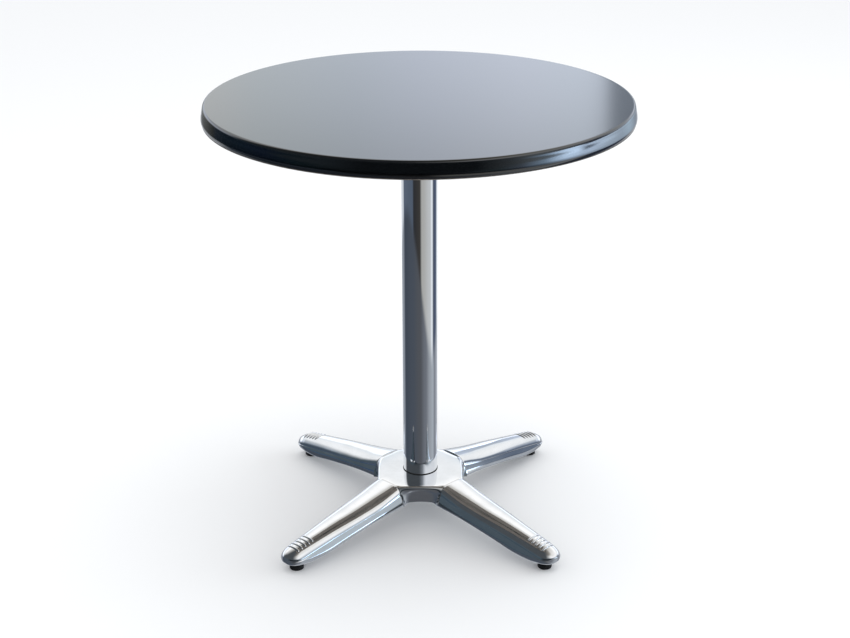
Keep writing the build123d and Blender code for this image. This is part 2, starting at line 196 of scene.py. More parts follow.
def interp(x, stations):
    """Monotone cubic through (x, y) stations, held level beyond the ends."""
    xs, ys = np.array(stations, float).T
    h = np.diff(xs)
    d = np.diff(ys) / h
    m = np.zeros(len(xs))
    m[0], m[-1] = d[0], d[-1]
    for i in range(1, len(xs) - 1):
        m[i] = 0.0 if d[i - 1] * d[i] <= 0 else 2 * d[i - 1] * d[i] / (d[i - 1] + d[i])
    x = min(max(x, xs[0]), xs[-1])
    i = min(int(np.searchsorted(xs, x, side="right")) - 1, len(h) - 1)
    t = (x - xs[i]) / h[i]
    return float((2 * t ** 3 - 3 * t ** 2 + 1) * ys[i] + (t ** 3 - 2 * t ** 2 + t) * h[i] * m[i]
                 + (-2 * t ** 3 + 3 * t ** 2) * ys[i + 1] + (t ** 3 - t ** 2) * h[i] * m[i + 1])


def clamp(x):
    return min(max(x, 0.0), 1.0)


def step(start, end, x):
    """0 before start, 1 after end, with a smooth rise between."""
    t = clamp((x - start) / (end - start))
    return t * t * (3 - 2 * t)


# ------------------------------------------------------------------ shader nodes
def feed(tree, socket, value):
    """Links a socket to an output, or gives it a number or an RGB colour."""
    if isinstance(value, bpy.types.NodeSocket):
        tree.links.new(value, socket)
    else:
        socket.default_value = (*value, 1.0) if isinstance(value, tuple) else value


def math_node(tree, operation, *values):
    node = tree.nodes.new("ShaderNodeMath")
    node.operation = operation
    for i, value in enumerate(values):
        feed(tree, node.inputs[i], value)
    return node.outputs[0]


def ramp_node(tree, fac, stops, mode="LINEAR"):
    """Colour ramp from (position, RGB) stops."""
    node = tree.nodes.new("ShaderNodeValToRGB")
    node.color_ramp.interpolation = mode
    elements = node.color_ramp.elements
    while len(elements) < len(stops):
        elements.new(0.5)
    for element, (position, colour) in zip(elements, stops):
        element.position = position
        element.color = (*colour, 1.0)
    tree.links.new(fac, node.inputs["Fac"])
    return node.outputs["Color"]


def range_node(tree, value, source, target=(0.0, 1.0), mode="LINEAR"):
    node = tree.nodes.new("ShaderNodeMapRange")
    node.interpolation_type = mode
    node.inputs["From Min"].default_value, node.inputs["From Max"].default_value = source
    node.inputs["To Min"].default_value, node.inputs["To Max"].default_value = target
    tree.links.new(value, node.inputs["Value"])
    return node.outputs["Result"]


def smooth_node(tree, value, start, end):
    """The node form of step()."""
    return range_node(tree, value, (start, end), mode="SMOOTHSTEP")


def mix_colour(tree, fac, first, second, blend="MIX"):
    node = tree.nodes.new("ShaderNodeMixRGB")
    node.blend_type = blend
    feed(tree, node.inputs["Fac"], fac)
    feed(tree, node.inputs["Color1"], first)
    feed(tree, node.inputs["Color2"], second)
    return node.outputs["Color"]


def mix_shader(tree, fac, first, second):
    node = tree.nodes.new("ShaderNodeMixShader")
    for socket, output in zip(node.inputs, (fac, first, second)):
        tree.links.new(output, socket)
    return node.outputs[0]


def incoming_axes(tree, geometry):
    """The X, Y and Z outputs of the direction back along the ray."""
    node = tree.nodes.new("ShaderNodeSeparateXYZ")
    tree.links.new(geometry.outputs["Incoming"], node.inputs[0])
    return [node.outputs[axis] for axis in "XYZ"]


def reverse(tree, value):
    return math_node(tree, "MULTIPLY", value, -1.0)


def one_minus(tree, value):
    return math_node(tree, "SUBTRACT", 1.0, value)


# ------------------------------------------------------------------ materials
def noise(scale, detail=3.0, rough=0.5, stretch=(1, 1, 1)):
    """Settings of a noise pattern; stretch scales the object coordinates under it."""
    settings = {"Scale": scale, "Detail": detail, "Roughness": rough}
    return "ShaderNodeTexNoise", "Fac", stretch, settings


def cells(scale):
    """Settings of a cell pattern."""
    return "ShaderNodeTexVoronoi", "Distance", (1, 1, 1), {"Scale": scale}


def tones(dark, light, start=0.3):
    """Stops for a two-tone colour ramp."""
    return [(start, dark), (0.7, light)]


def make_material(name, *, tint, colours, rough, roughness, relief, strength, depth,
                  rough_span=(0.0, 1.0), ior=None):
    """A material with three patterns, which is a metal unless it has an IOR.

    tint drives the colour stops. rough drives the roughness, from its values in rough_span to
    the two roughness limits. relief is a bump of the given strength and depth in metres.
    """
    material = bpy.data.materials.new(name)
    material.use_nodes = True
    tree = material.node_tree
    inputs = tree.nodes["Principled BSDF"].inputs
    coord = tree.nodes.new("ShaderNodeTexCoord").outputs["Object"]

    def pattern(spec):
        kind, output, stretch, settings = spec
        texture = tree.nodes.new(kind)
        for key, value in settings.items():
            texture.inputs[key].default_value = value
        mapping = tree.nodes.new("ShaderNodeMapping")
        mapping.inputs["Scale"].default_value = stretch
        tree.links.new(coord, mapping.inputs["Vector"])
        tree.links.new(mapping.outputs["Vector"], texture.inputs["Vector"])
        return texture.outputs[output]

    inputs["Metallic"].default_value = 1.0 if ior is None else 0.0
    if ior is not None:
        inputs["IOR"].default_value = ior
    tree.links.new(ramp_node(tree, pattern(tint), colours), inputs["Base Color"])
    tree.links.new(range_node(tree, pattern(rough), rough_span, roughness), inputs["Roughness"])
    bump = tree.nodes.new("ShaderNodeBump")
    bump.inputs["Strength"].default_value = strength
    bump.inputs["Distance"].default_value = depth
    tree.links.new(pattern(relief), bump.inputs["Height"])
    tree.links.new(bump.outputs["Normal"], inputs["Normal"])
    return material


def plated_steel(name, dark, light):
    return make_material(
        name, tint=noise(90, detail=4, rough=0.65), colours=tones(dark, light),
        rough=noise(300), roughness=(0.18, 0.36),
        relief=noise(700, detail=2), strength=0.2, depth=0.0001)


LAMINATE = make_material(
    "moulded_laminate", ior=1.95, tint=noise(900, detail=2, rough=0.6),
    colours=tones((0.0008, 0.0011, 0.0014), (0.0018, 0.0022, 0.0026), start=0.35),
    rough=noise(420, rough=0.6), roughness=(0.095, 0.125), rough_span=(0.3, 0.7),
    relief=noise(1500, detail=2), strength=0.05, depth=0.00003)
CAST = make_material(
    "polished_cast_metal", tint=noise(26, detail=4, rough=0.6, stretch=(1, 1, 4)),
    colours=tones((0.80, 0.80, 0.80), (0.88, 0.88, 0.885)),
    rough=noise(60, rough=0.6), roughness=(0.03, 0.085), rough_span=(0.3, 0.7),
    relief=noise(34, detail=2), strength=0.10, depth=0.0006)
TUBE = make_material(
    "chromed_tube", tint=noise(12, stretch=(1, 1, 0.2)),
    colours=tones((0.80, 0.81, 0.83), (0.86, 0.87, 0.885)),
    rough=noise(40, rough=0.6, stretch=(1, 1, 0.15)), roughness=(0.025, 0.06),
    rough_span=(0.3, 0.7),
    relief=noise(9, detail=1, rough=0.4, stretch=(1, 1, 0.25)), strength=0.05, depth=0.0015)
CORE = make_material(
    "pressed_wood_core", ior=1.45, tint=cells(260),
    colours=[(0.0, (0.085, 0.075, 0.066)), (0.45, (0.155, 0.138, 0.119)),
             (1.0, (0.23, 0.205, 0.18))],
    rough=noise(120), roughness=(0.45, 0.65),
    relief=noise(420, rough=0.6), strength=0.25, depth=0.0003)
POWDER = make_material(
    "black_powder_coat", ior=1.5, tint=noise(200, detail=2),
    colours=tones((0.012, 0.012, 0.013), (0.022, 0.022, 0.024)),
    rough=noise(500, detail=2), roughness=(0.42, 0.6),
    relief=noise(1300, detail=2, rough=0.6), strength=0.5, depth=0.00025)
ZINC = plated_steel("zinc_plated_steel", (0.46, 0.47, 0.50), (0.66, 0.67, 0.66))
RAW = make_material(
    "cast_metal_unpolished", tint=noise(150, detail=4),
    colours=tones((0.42, 0.42, 0.42), (0.56, 0.56, 0.56)),
    rough=noise(350), roughness=(0.42, 0.62),
    relief=noise(600, rough=0.7), strength=0.45, depth=0.0004)
BRASS = make_material(
    "turned_brass", tint=noise(120), colours=tones((0.58, 0.42, 0.18), (0.74, 0.56, 0.27)),
    rough=noise(400, stretch=(1, 1, 8)), roughness=(0.2, 0.38),
    relief=noise(900, detail=1, stretch=(0.2, 0.2, 6)), strength=0.2, depth=0.0001)
# Dark steel for the arm bolts and the foot stems; on the stems this dark colour is painted shade
# under the arms.
DARK_STEEL = make_material(
    "dark_steel", tint=noise(160),
    colours=tones((0.035, 0.035, 0.04), (0.075, 0.075, 0.08)),
    rough=noise(420, detail=2), roughness=(0.3, 0.45),
    relief=noise(900, detail=2), strength=0.2, depth=0.0001)
NYLON = make_material(
    "black_nylon", ior=1.35, tint=noise(300, detail=2),
    colours=tones((0.006, 0.006, 0.007), (0.012, 0.012, 0.013)),
    rough=noise(700, detail=2), roughness=(0.42, 0.58),
    relief=noise(1600, detail=2), strength=0.3, depth=0.00012)
RUBBER = make_material(
    "black_gasket", ior=1.45, tint=noise(500, detail=2),
    colours=tones((0.012, 0.012, 0.012), (0.025, 0.025, 0.025)),
    rough=noise(700, detail=2), roughness=(0.55, 0.75),
    relief=noise(1500, detail=2), strength=0.3, depth=0.0001)
SPRING = plated_steel("phosphated_spring_steel", (0.10, 0.10, 0.11), (0.19, 0.19, 0.20))

# CAD pieces that are kept as they are and only given a material.
CARRIED = {
    "top_core": CORE, "top_mounting_plate": POWDER, "plate_screws": ZINC,
    "column_top_plug": RAW, "column_base_gasket": RUBBER, "tie_rod": ZINC,
    "tie_rod_top_washer": ZINC, "tie_rod_top_nut": ZINC, "tie_rod_lower_washer": ZINC,
    "tie_rod_spring_washer": SPRING, "tie_rod_lower_nut": ZINC,
    "arm_bolts": DARK_STEEL, "arm_bolt_washers": ZINC, "foot_inserts": BRASS,
}
for node_name, carried_material in CARRIED.items():
    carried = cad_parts[node_name]
    if not carried.material_slots:
        carried.data.materials.append(carried_material)
    for material_slot in carried.material_slots:
        material_slot.material = carried_material

# ------------------------------------------------------------------ table top
TABLE_H = 745.0
TOP_R = 350.0
FLAT_R = 343.0  # where the flat gives way to the rounded edge
EDGE_H = 29.0


def top_shell():
    """The thin moulded skin, open underneath, as one profile of (radius, height)."""
    z, low = TABLE_H, TABLE_H - EDGE_H
    flat = [(r, z) for r in (0, 60, 140, 220, 290, 325, 338, FLAT_R - 3.2)]
    edge = catmull([
        (FLAT_R - 1.5, z), (FLAT_R + 0.6, z - 0.12), (FLAT_R + 2.5, z - 1.2),
        (FLAT_R + 3.8, z - 3.2), (TOP_R - 2.2, z - 8.0), (TOP_R - 1.0, z - 14.0),
        (TOP_R - 0.05, z - 20.5), (TOP_R - 0.9, z - 24.4), (TOP_R - 3.2, z - 27.6),
        (TOP_R - 6.4, low)], 6)
    lip = [(TOP_R - 9, low), (TOP_R - 13.4, low), (TOP_R - 14.0, low + 0.5),
           (TOP_R - 14.0, low + 1.15)]
    inside = [
        (TOP_R - 13.0, low + 1.2), (TOP_R - 7.2, low + 1.2), (TOP_R - 4.0, low + 2.4),
        (TOP_R - 2.0, low + 5.2), (TOP_R - 1.3, low + 8.5), (TOP_R - 2.4, low + 15.0),
        (TOP_R - 3.5, low + 21.0), (TOP_R - 4.6, low + 25.0), (FLAT_R - 0.3, z - 1.25),
        (FLAT_R - 4, z - 1.2), (300, z - 1.2), (150, z - 1.2), (0, z - 1.2)]
    return lathe(flat + edge + lip + inside, 384)


add_piece("top_shell_moulded", top_shell(), sharp_over=50, material=LAMINATE,
          body="table", replaces="top_shell")

# ------------------------------------------------------------------ column
COLUMN_R = 29.75
COLUMN_WALL = 2.0
COLUMN_LOW, COLUMN_HIGH = 80.0, 717.0
COLUMN_ROUND = 0.35  # radius of the outer rims


def column():
    """A plain tube with softened rims."""
    low, high, outer, rim = COLUMN_LOW, COLUMN_HIGH, COLUMN_R, COLUMN_ROUND
    bore = outer - COLUMN_WALL
    levels = [low + 40 * i for i in range(1, 16)]
    profile = [(bore, low + 0.3), (bore + 0.3, low), (outer - rim, low)]
    profile += arc(outer - rim, low + rim, rim, -90, 0, 4)
    profile += [(outer, low + 0.8), (outer, low + 1.6)]
    profile += [(outer, z) for z in levels]
    profile += [(outer, high - 1.6), (outer, high - 0.8)]
    profile += arc(outer - rim, high - rim, rim, 0, 90, 4)
    profile += [(bore + 0.3, high), (bore, high - 0.3)]
    profile += [(bore, z) for z in reversed(levels)]
    profile += [(bore, low + 0.3)]
    return lathe(profile, 192)


add_piece("column_tube_polished", column(), sharp_over=40, material=TUBE,
          body="table", replaces="column_tube")

# ------------------------------------------------------------------ arms
DIAGONALS = {"front_left": 225, "front_right": 315, "back_right": 45, "back_left": 135}

# An arm is drawn along +X: u is the distance from the table's axis, side is along Y.
ARM_START, ARM_TIP = 79.6, 318.0
FOOT_R = 292.0       # from the table's axis to a foot
HUB_TOP, HUB_LOW = 79.0, 45.5
SEAM_HALF_W = 28.6   # half width where arm and hub meet
SHOULDER_H = 15.0    # height of the crown above the sides
DRAFT = 0.40         # how far the sides lean out per unit of depth
SEAM_POWER = 3.1     # crown's superellipse power at the hub
CROWN_POWER = 2.45   # and further out
TOE_MID = 24.0       # height the toe closes towards

# (u, height or half width)
ARM_TOP = [(ARM_START, HUB_TOP), (115, 71.9), (155, 64.9), (200, 58.0), (250, 49.4),
           (297, 40.8), (ARM_TIP, 37.2)]
ARM_BOTTOM = [(ARM_START, HUB_LOW), (120, 42.0), (187, 31.8), (240, 21.4), (274, 15.2),
              (284, 14.0), (ARM_TIP, 14.0)]
ARM_HALF_W = [(ARM_START, SEAM_HALF_W), (115, 28.9), (160, 27.4), (230, 22.6), (297, 19.0)]

RIB_HALF_L, RIB_HALF_W, RIB_H = 14.0, 2.1, 1.7
RIB_PLACES = [266.5 + 7.7 * i for i in range(5)]


def round_end(u):
    """1 along the arm, falling to 0 on a superellipse over the toe."""
    t = clamp((u - 296.0) / (ARM_TIP - 296.0))
    return max(1 - t ** 2.2, 0.0) ** (1 / 2.2)


def dome(u):
    """The same for the crown, on a quarter circle that starts a little earlier."""
    t = clamp((u - 289.0) / (ARM_TIP - 289.0))
    return math.sqrt(max(1 - t * t, 0.0))


def arm_top(u):
    return TOE_MID + (interp(u, ARM_TOP) - TOE_MID) * (0.14 + 0.86 * dome(u))


def arm_bottom(u):
    return TOE_MID + (interp(u, ARM_BOTTOM) - TOE_MID) * (0.15 + 0.85 * round_end(u) ** 0.8)


def arm_half(u):
    return interp(u, ARM_HALF_W) * round_end(u)


def crown_point(angle, half_w, height, power, draft):
    """(side, rise) on the crown: angle 0 at the middle, pi/2 at the foot of the shoulder.

    The lean starts inside the shoulder, so the curve runs into the side without a kink.
    """
    sine = math.sin(angle)
    cosine = max(math.cos(angle), 0.0) ** (2 / power)
    side = half_w * sine ** (2 / power) + draft * height * (1 - cosine) * 0.55 * sine ** 6
    return side, height * cosine


def arm_section(u):
    """Closed (side, z) outline at u: crown, shoulders, leaning sides, hollow underneath."""
    half_w, top, bottom = arm_half(u), arm_top(u), arm_bottom(u)
    end = round_end(u)
    power = SEAM_POWER + (CROWN_POWER - SEAM_POWER) * step(ARM_START, 130, u)
    height = min(SHOULDER_H * (0.25 + 0.75 * end), (top - bottom) * 0.55)
    shoulder_z = top - height
    draft = DRAFT * end
    bulge = 2.2 * end
    half = []
    for i in range(27):
        side, rise = crown_point(math.pi / 2 * i / 26, half_w, height, power, draft)
        half.append((side, shoulder_z + rise))

    # The lower edge is tight along the arm and opens into a ball at the toe.
    ball = step(236, 304, u)
    lip = min(2.2 + 6.6 * ball, (shoulder_z - bottom) * (0.45 + 0.42 * ball),
              max(half_w, 0.2) * (0.3 + 0.25 * ball))
    shoulder_w = half[-1][0]
    side_h = shoulder_z - bottom - lip
    for i in range(1, 9):
        q = i / 8
        half.append((shoulder_w + draft * side_h * q + bulge * 0.45 * math.sin(math.pi * q) * 0.5,
                     shoulder_z - side_h * q))
    flat_w = half[-1][0] - lip
    for degrees in (18, 36, 54, 72, 90):
        a = math.radians(degrees)
        half.append((flat_w + lip * math.cos(a), bottom + lip - lip * math.sin(a)))

    # The hollow closes before the foot.
    wall = min(3.2, flat_w * 0.25)
    closed = step(FOOT_R - 32, FOOT_R - 18, u)
    depth = max((top - 5.0 - bottom) * (1 - closed), 0.0)
    ceiling = bottom + depth
    inner = max(flat_w - wall, 0.0)
    lean = min(draft * depth * 0.9, inner * 0.35)
    half += [(inner, bottom),
             (inner - 0.3 * end, bottom + min(1.0, depth * 0.3)),
             (inner - lean * 0.5 - 0.4 * end, bottom + depth * 0.5),
             (inner - lean - 1.2 * end, ceiling - min(3.0, depth * 0.3)),
             (max(inner - lean - 4.4 * end, inner * 0.5), ceiling),
             (inner * 0.3, ceiling)]
    mirrored = [(-side, z) for side, z in reversed(half[1:])]
    return half + [(0.0, ceiling)] + mirrored


def arm_beam():
    """The arm from the seam at the hub to the toe."""
    stations = [ARM_START, ARM_START + 0.25, ARM_START + 0.7]
    stations += list(np.linspace(82, 255, 60)) + list(np.linspace(257, 293, 26))
    stations += [293 + (ARM_TIP - 293) * math.sin(math.pi / 2 * i / 24) for i in range(1, 24)]
    stations.append(ARM_TIP - 0.004)
    # The first sections are narrowed and their crown lowered, which softens the seam's edge.
    seam_edge = {0: (0.985, 0.45), 1: (0.996, 0.12)}
    rings = []
    for i, u in enumerate(stations):
        narrow, drop = seam_edge.get(i, (1.0, 0.0))
        rings.append([(u, side * narrow, z - (drop if z > 60 else 0))
                      for side, z in arm_section(u)])
    return loft(rings)


def inner_block():
    """Bevelled block at the arm's inner end, reaching in under the hub."""
    x_low, x_high, half_w = 50.0, ARM_START + 5.0, 17.0
    z_low, z_high = 56.0, 68.95
    bevel, corner = 0.8, 2.5
    rings = []
    for z, inset in ((z_low, bevel), (z_low + bevel, 0), (z_high - bevel, 0), (z_high, bevel)):
        ring = []
        for i, (sx, sy) in enumerate(((1, 1), (-1, 1), (-1, -1), (1, -1))):
            cx = (x_high if sx > 0 else x_low) - sx * (inset + corner)
            cy = sy * half_w - sy * (inset + corner)
            for k in range(5):
                a = math.radians(90 * i + 22.5 * k)
                ring.append((cx + corner * math.cos(a), cy + corner * math.sin(a), z))
        rings.append(ring)
    return loft(rings)


def rib(u):
    """One low rounded bar across the arm's crown."""
    slope = (arm_top(u + 2) - arm_top(u - 2)) / 4
    # Unit normal to the crown and unit tangent along it.
    nx, nz = -slope / math.hypot(1, slope), 1 / math.hypot(1, slope)
    tx, tz = nz, -nx
    half_w = max(arm_half(u), RIB_HALF_L + 3.0)
    rings = []
    for q in np.linspace(-1, 1, 25):
        side = RIB_HALF_L * math.sin(math.pi / 2 * q)
        taper = max(math.sqrt(max(1 - (abs(side) / RIB_HALF_L) ** 6, 0.0)), 0.02)
        crown = max(1 - (abs(side) / half_w) ** CROWN_POWER, 0) ** (1 / CROWN_POWER)
        drop = SHOULDER_H * (1 - crown) * 0.96
        ring = []
        for j in range(16):
            a = 2 * math.pi * j / 16
            along = RIB_HALF_W * taper * math.cos(a)
            height = RIB_H if math.sin(a) > 0 else 1.2
            rise = height * taper * math.sin(a)
            ring.append((u + along * tx + rise * nx, side,
                         arm_top(u) - drop + along * tz + rise * nz))
        rings.append(ring)
    return loft(rings)


arm_shape = merge(arm_beam(), inner_block(), *[rib(u) for u in RIB_PLACES])
for where, angle in DIAGONALS.items():
    add_piece("arm_" + where + "_casting", placed(arm_shape, angle), sharp_over=42,
              material=CAST, body="table", replaces="arm_" + where)

# ------------------------------------------------------------------ hub
HUB_REACH = 79.0       # from the axis to the diagonal faces
HOLLOW_POWER = 2.4     # shape of the hollow sides; a higher power is squarer
HOLLOW_SQUARER = 9     # added to it towards the bottom
FACE_STEPS, SIDE_STEPS = 14, 40

# (distance from the axis, height) at the middle of a side: rounded nose, then hollow face
HUB_NOSE = [(69.4, 79.0), (71.8, 78.5), (73.8, 77.0), (74.8, 74.8), (74.6, 72.9),
            (73.6, 71.6), (72.4, 69.8), (71.3, 64.0), (71.2, 56.0), (72.0, 48.6)]
# Lower lip, from the nose's last ring: face narrower by, face raised by, side in by,
# side raised by, face in by
HUB_LIP = [(0.6, -0.8, 0.8, -0.9, 0.6), (2.0, -0.8, 3.0, -0.9, 2.5), (3.4, 1.0, 4.2, 1.0, 4.2)]
# Underside: face half width, face z, side distance, side z, face in by
HUB_UNDER = [(25.0, 60.0, 66.0, 62.0, 5.0), (22.5, 67.4, 64.0, 67.6, 5.6),
             (20.0, 69.0, 61.0, 69.0, 8.5)]
# (radius, z): recess underneath, bore, then the ring that centres the tube
HUB_ROUNDS = [(22.0, 69.0), (20.3, 68.0), (19.6, 61.0), (18.8, 60.0), (6.4, 60.0),
              (5.7, 60.7), (5.7, HUB_TOP), (23.6, HUB_TOP), (23.6, 93.0), (27.0, 93.0),
              (27.6, 92.4), (27.6, HUB_TOP)]


def hub_ring(face_half, z_face, side_dist, z_side, inset=0.0, power=HOLLOW_POWER):
    """Points round the hub: four diagonal faces and the four hollow sides between them."""
    points = []
    reach = HUB_REACH - inset
    for k in range(4):
        face = 45 + 90 * k
        for i in range(FACE_STEPS):
            across = -face_half + 2 * face_half * i / FACE_STEPS
            points.append((*turn(reach, across, face), z_face))
        ax, ay = turn(reach, face_half, face)
        bx, by = turn(reach, -face_half, face + 90)
        side = math.radians(90 * (k + 1))
        ox, oy = math.cos(side), math.sin(side)
        end_dist = ax * ox + ay * oy
        for i in range(SIDE_STEPS):
            t = i / SIDE_STEPS
            bow = 1 - abs(2 * t - 1) ** power
            arch = 1 - abs(2 * t - 1) ** HOLLOW_POWER
            x, y = ax + (bx - ax) * t, ay + (by - ay) * t
            shift = (side_dist - end_dist) * bow
            points.append((x + ox * shift, y + oy * shift, z_face + (z_side - z_face) * arch))
    return points


def seam_profile(q):
    """(half width, z) of the arm's end outline.

    q is 0 at the edge of the flat, 0.45 at the foot of the shoulder and 1 at the bottom.
    """
    if q < 0.45:
        angle = math.pi / 2 * (0.40 + 0.60 * q / 0.45)
        side, rise = crown_point(angle, SEAM_HALF_W, SHOULDER_H, SEAM_POWER, DRAFT)
        return side, HUB_TOP - SHOULDER_H + rise
    t = (q - 0.45) / 0.55
    return (SEAM_HALF_W + DRAFT * SHOULDER_H * 0.55
            + DRAFT * (HUB_TOP - SHOULDER_H - HUB_LOW) * t,
            HUB_TOP - SHOULDER_H + (HUB_LOW - HUB_TOP + SHOULDER_H) * t)


def hub_shape():
    """One closed skin, from the top outwards, down, back underneath and up the bore."""
    angles = [math.atan2(y, x) for x, y, _ in hub_ring(*HUB_UNDER[-1])]

    def round_ring(radius, z):
        return [(radius * math.cos(a), radius * math.sin(a), z) for a in angles]

    rings = [round_ring(30.0, HUB_TOP)]
    flat_half, flat_z = seam_profile(0.0)
    for k in (0.42, 0.6, 0.8, 0.93, 0.985):
        z_face = HUB_TOP - (HUB_TOP - flat_z) * k ** 8
        base = hub_ring(flat_half, z_face, HUB_NOSE[0][0], HUB_TOP)
        rings.append([(x * k, y * k, z) for x, y, z in base])

    nose = catmull(HUB_NOSE, 4)
    for i, (side_dist, z_side) in enumerate(nose):
        q = i / (len(nose) - 1)
        face_half, z_face = seam_profile(q)
        # The faces start a little in and down, which softens their top edge.
        inset = {0: 0.35, 1: 0.08}.get(i, 0.0)
        drop = 0.35 if i == 0 else 0
        rings.append(hub_ring(face_half, z_face - drop, side_dist, z_side, inset,
                              HOLLOW_POWER + HOLLOW_SQUARER * step(0.1, 0.5, q)))

    low_half = seam_profile(1.0)[0]
    low_dist, low_side = HUB_NOSE[-1]
    for narrower, face_up, side_in, side_up, inset in HUB_LIP:
        rings.append(hub_ring(low_half - narrower, HUB_LOW + face_up, low_dist - side_in,
                              low_side + side_up, inset, HOLLOW_POWER + HOLLOW_SQUARER))
    rings += [hub_ring(*row) for row in HUB_UNDER]
    rings += [round_ring(*row) for row in HUB_ROUNDS]
    rings.append(list(rings[0]))
    return loft(rings, capped=False)


add_piece("hub_casting", hub_shape(), sharp_over=42, material=CAST,
          body="table", replaces="hub")

# ------------------------------------------------------------------ levelling feet
COLLAR_LOW, COLLAR_HIGH = 8.6, 13.9
COLLAR_HALF_FLATS = 6.5
THREAD_TOP = 33.0
THREAD_CORE_R, THREAD_R, THREAD_PITCH = 3.35, 3.94, 1.25

# (radius, z) of the stem's base disc and neck
STEM_BASE = [(0, 2.0), (6.4, 2.0), (7.0, 2.5), (7.0, 3.7), (6.4, 4.2), (3.9, 4.2),
             (3.9, 8.8), (0, 8.8)]
# (radius, z) of the pad, with the socket that holds the disc
PAD = [(0, 0), (10.6, 0), (11.4, 0.25), (11.9, 0.9), (12.0, 1.8), (12.0, 6.1), (11.8, 7.3),
       (11.0, 8.2), (9.8, 8.5), (4.7, 8.5), (4.05, 8.0), (4.05, 4.3), (7.05, 4.25),
       (7.05, 1.95), (0, 1.95)]


def thread():
    """A helical thread as a closed solid, tapering over its last 0.9 mm."""
    z_low, z_high = COLLAR_HIGH, THREAD_TOP
    steps, rows_per_turn = 28, 8
    rows = int((z_high - z_low) / THREAD_PITCH * rows_per_turn)
    rings = []
    for i in range(rows + 1):
        z = z_low + (z_high - z_low) * i / rows
        fade = min((z_high - z) / 0.9, 1.0)
        ring = []
        for k in range(steps):
            a = 2 * math.pi * k / steps
            phase = ((z - z_low) / THREAD_PITCH - k / steps) % 1.0
            ridge = clamp((1 - abs(2 * phase - 1) - 0.12) / 0.72)
            radius = THREAD_CORE_R + (THREAD_R - THREAD_CORE_R) * ridge
            radius = min(radius, THREAD_R - 0.8 * (1 - fade))
            ring.append((radius * math.cos(a), radius * math.sin(a), z))
        rings.append(ring)
    return loft(rings)


def collar():
    """Hexagonal spanner collar with chamfered corners."""
    flats = COLLAR_HALF_FLATS
    rings = []
    for z, cut in ((COLLAR_LOW, 0.6), (COLLAR_LOW + 0.35, 0.0),
                   (COLLAR_HIGH - 0.35, 0.0), (COLLAR_HIGH, 0.6)):
        ring = []
        for k in range(48):
            a = 2 * math.pi * k / 48
            from_flat = (a + math.pi / 6) % (math.pi / 3) - math.pi / 6
            radius = min(flats / math.cos(from_flat), flats / math.cos(math.pi / 6) - 0.25 - cut)
            ring.append((radius * math.cos(a), radius * math.sin(a), z))
        rings.append(ring)
    return loft(rings)


# The stems are dark steel so that their collars read black under the arms: painted shade.
stem_shape = merge(thread(), collar(), lathe(STEM_BASE, 40))
pad_shape = lathe(PAD, 72)
for where, angle in DIAGONALS.items():
    centre = turn(FOOT_R, 0.0, angle)
    add_piece("foot_stem_" + where + "_threaded", placed(stem_shape, angle, centre),
              sharp_over=30, material=DARK_STEEL, body="stem_" + where,
              replaces="foot_stem_" + where)
    add_piece("foot_pad_" + where + "_moulded", placed(pad_shape, centre=centre),
              sharp_over=40, material=NYLON, body="pad_" + where,
              replaces="foot_pad_" + where)

# ------------------------------------------------------------------ stage
scene = bpy.context.scene
scene.view_settings.view_transform = "Standard"
scene.view_settings.look = "None"
scene.view_settings.exposure = 0.0
scene.view_settings.gamma = 1.0

# Headings go round the table as seen from above: 0 and 1 are the back (+Y), 0.25 the left,
# 0.5 the front and 0.75 the right.
# Studio near eye level, by heading: dark to the left and front, a cool window to the right.
HORIZON = [
    (0.00, (0.80, 0.85, 0.90)), (0.10, (0.40, 0.42, 0.42)), (0.133, (0.170, 0.185, 0.185)),
    (0.144, (0.100, 0.140, 0.200)), (0.176, (0.040, 0.074, 0.118)),
    (0.217, (0.025, 0.054, 0.095)), (0.259, (0.016, 0.032, 0.075)),
    (0.328, (0.008, 0.027, 0.037)), (0.393, (0.003, 0.004, 0.006)),
    (0.503, (0.002, 0.003, 0.005)), (0.558, (0.028, 0.032, 0.044)),
    (0.612, (0.075, 0.115, 0.130)), (0.645, (0.21, 0.27, 0.37)), (0.683, (0.85, 1.20, 1.62)),
    (0.720, (3.00, 3.90, 5.10)), (0.768, (3.30, 4.15, 5.35)), (0.825, (2.90, 3.60, 4.45)),
    (0.851, (2.35, 2.90, 3.60)), (0.885, (2.30, 2.95, 3.60)), (0.924, (1.20, 1.40, 1.70)),
    (0.97, (0.85, 0.90, 0.95))]
# Its brightness, by height from -0.2 to 0.1: (position, grey).
HORIZON_RISE = [(0.00, 0.42), (0.333, 0.58), (0.50, 0.95), (0.633, 1.45), (0.80, 1.95),
                (1.00, 2.10)]
# Painted reflection of the studio floor, by heading, far from the table and near it; the near
# colours are mostly darker, painted shade round the table.
PAINTED_FLOOR_FAR = [
    (0.00, (0.75, 0.78, 0.82)), (0.15, (0.70, 0.74, 0.80)), (0.175, (0.115, 0.145, 0.20)),
    (0.37, (0.10, 0.13, 0.18)), (0.40, (0.035, 0.036, 0.040)), (0.505, (0.050, 0.048, 0.046)),
    (0.545, (0.47, 0.47, 0.45)), (0.70, (0.60, 0.62, 0.63)), (0.74, (0.90, 0.95, 1.00)),
    (0.785, (0.07, 0.09, 0.14)), (0.86, (0.10, 0.13, 0.20)), (0.90, (0.72, 0.76, 0.82))]
PAINTED_FLOOR_NEAR = [
    (0.00, (0.55, 0.58, 0.62)), (0.14, (0.30, 0.33, 0.38)), (0.20, (0.060, 0.075, 0.100)),
    (0.36, (0.075, 0.090, 0.115)), (0.50, (0.095, 0.102, 0.116)), (0.60, (0.17, 0.185, 0.215)),
    (0.70, (0.36, 0.39, 0.43)), (0.76, (0.42, 0.46, 0.51)), (0.82, (0.24, 0.26, 0.30)),
    (0.90, (0.50, 0.53, 0.58))]
